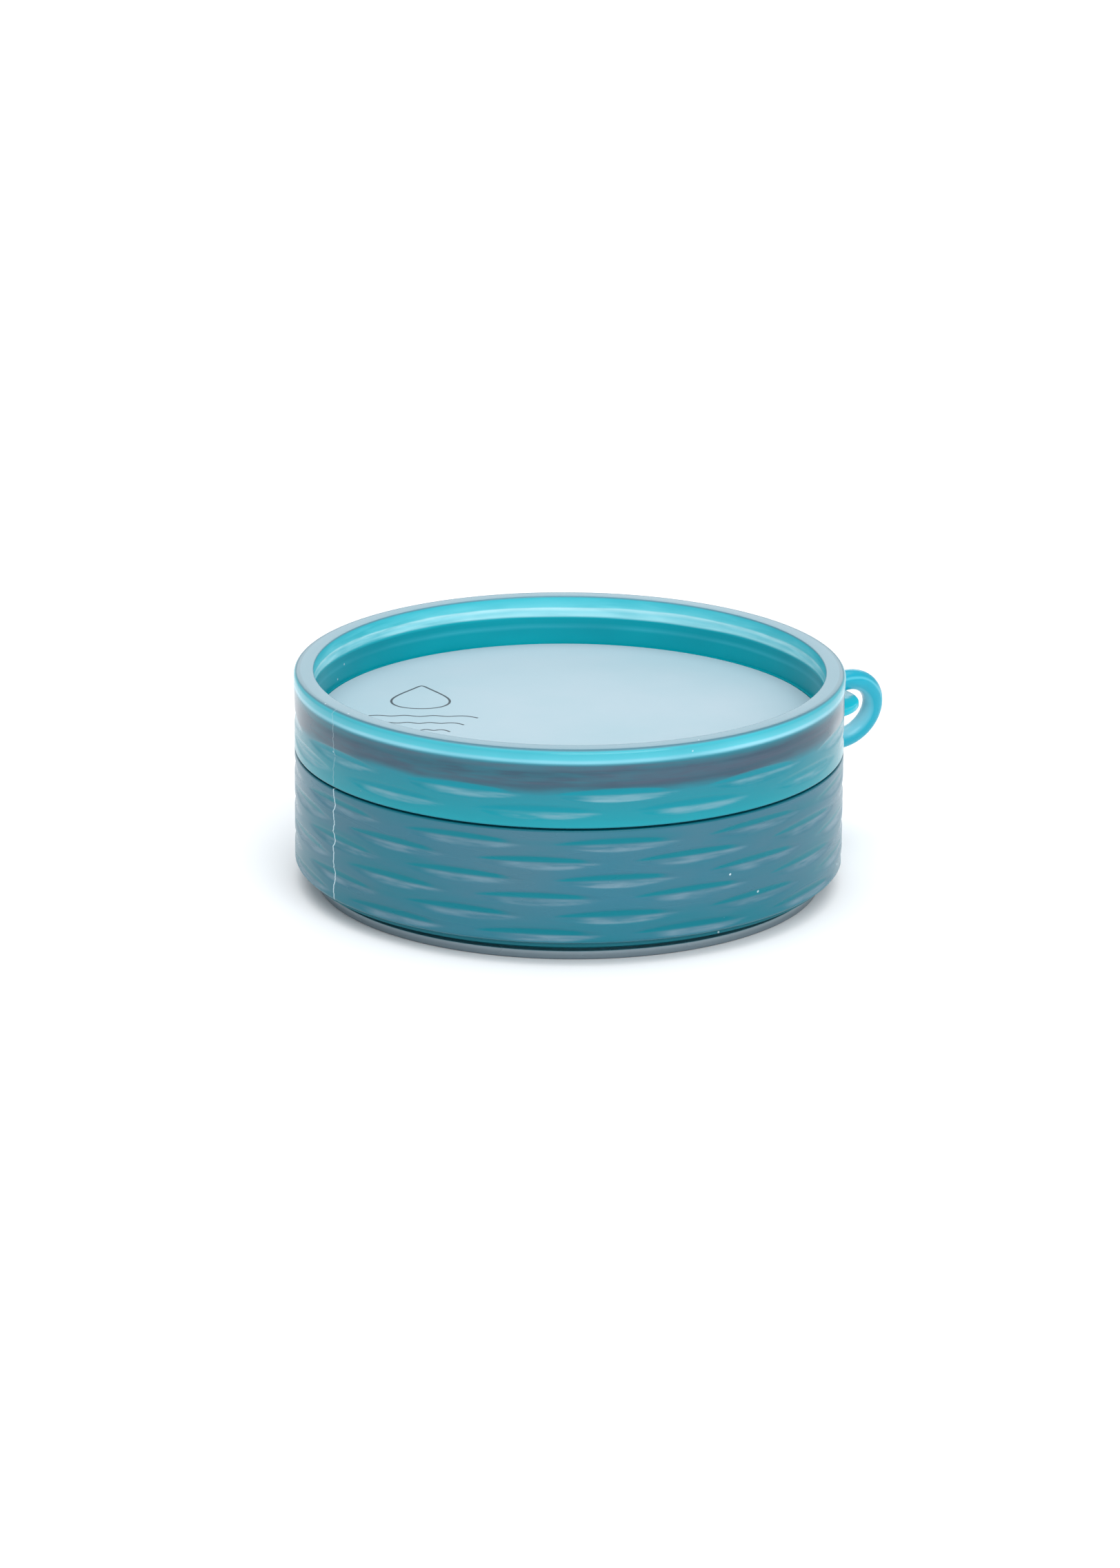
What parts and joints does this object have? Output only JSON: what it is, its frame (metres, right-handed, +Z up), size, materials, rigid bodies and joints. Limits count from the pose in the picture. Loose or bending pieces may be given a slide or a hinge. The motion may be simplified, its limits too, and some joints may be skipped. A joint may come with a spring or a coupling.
{
  "type": "collapsible travel cup",
  "caption": "Round telescoping travel cup, collapsed under its lift-off lid, with nested sliding rings, a thumb tab and a small carry ring.",
  "frame": {"origin": "on the cup's axis, at the plane that the foot stands on", "axes": "+Z up along the cup's axis, +X towards the lid's thumb tab and carry ring"},
  "size_m": [0.093, 0.0794, 0.0317],
  "materials": {
    "teal_body_plastic": "gloss translucent",
    "teal_lid_plastic": "gloss translucent",
    "pale_disc_plastic": "matt",
    "aqua_ring_plastic": "gloss translucent"
  },
  "bodies": {
    "base": {"base_cup": "teal_body_plastic"},
    "ring_1": {"inner_ring_1": "teal_body_plastic"},
    "ring_2": {"inner_ring_2": "teal_body_plastic"},
    "ring_3": {"inner_ring_3": "teal_body_plastic"},
    "ring_4": {"inner_ring_4": "teal_body_plastic"},
    "grip_ring": {"outer_ring": "teal_body_plastic"},
    "lid": {"lid_shell": "teal_lid_plastic", "lid_disc": "pale_disc_plastic"},
    "loop": {"carry_ring": "aqua_ring_plastic"}
  },
  "joints": [
    {"name": "ring_1_slide", "type": "slide", "parent": "base", "child": "ring_1", "axis": [0, 0, 1], "range_m": [0, 0.0154]},
    {"name": "ring_2_slide", "type": "slide", "parent": "ring_1", "child": "ring_2", "axis": [0, 0, 1], "range_m": [0, 0.0154]},
    {"name": "ring_3_slide", "type": "slide", "parent": "ring_2", "child": "ring_3", "axis": [0, 0, 1], "range_m": [0, 0.0154]},
    {"name": "ring_4_slide", "type": "slide", "parent": "ring_3", "child": "ring_4", "axis": [0, 0, 1], "range_m": [0, 0.0154]},
    {"name": "grip_ring_slide", "type": "slide", "parent": "ring_4", "child": "grip_ring", "axis": [0, 0, 1], "range_m": [0, 0.0154]},
    {"name": "lid_lift", "type": "slide", "parent": "grip_ring", "child": "lid", "axis": [0, 0, 1], "range_m": [0, 0.03]},
    {"name": "carry_ring_swing", "type": "hinge", "parent": "lid", "child": "loop", "pos_m": [0.0467, 0, 0.0208], "axis": [1, 0, 0], "range_deg": [-34, 5.5]}
  ]
}
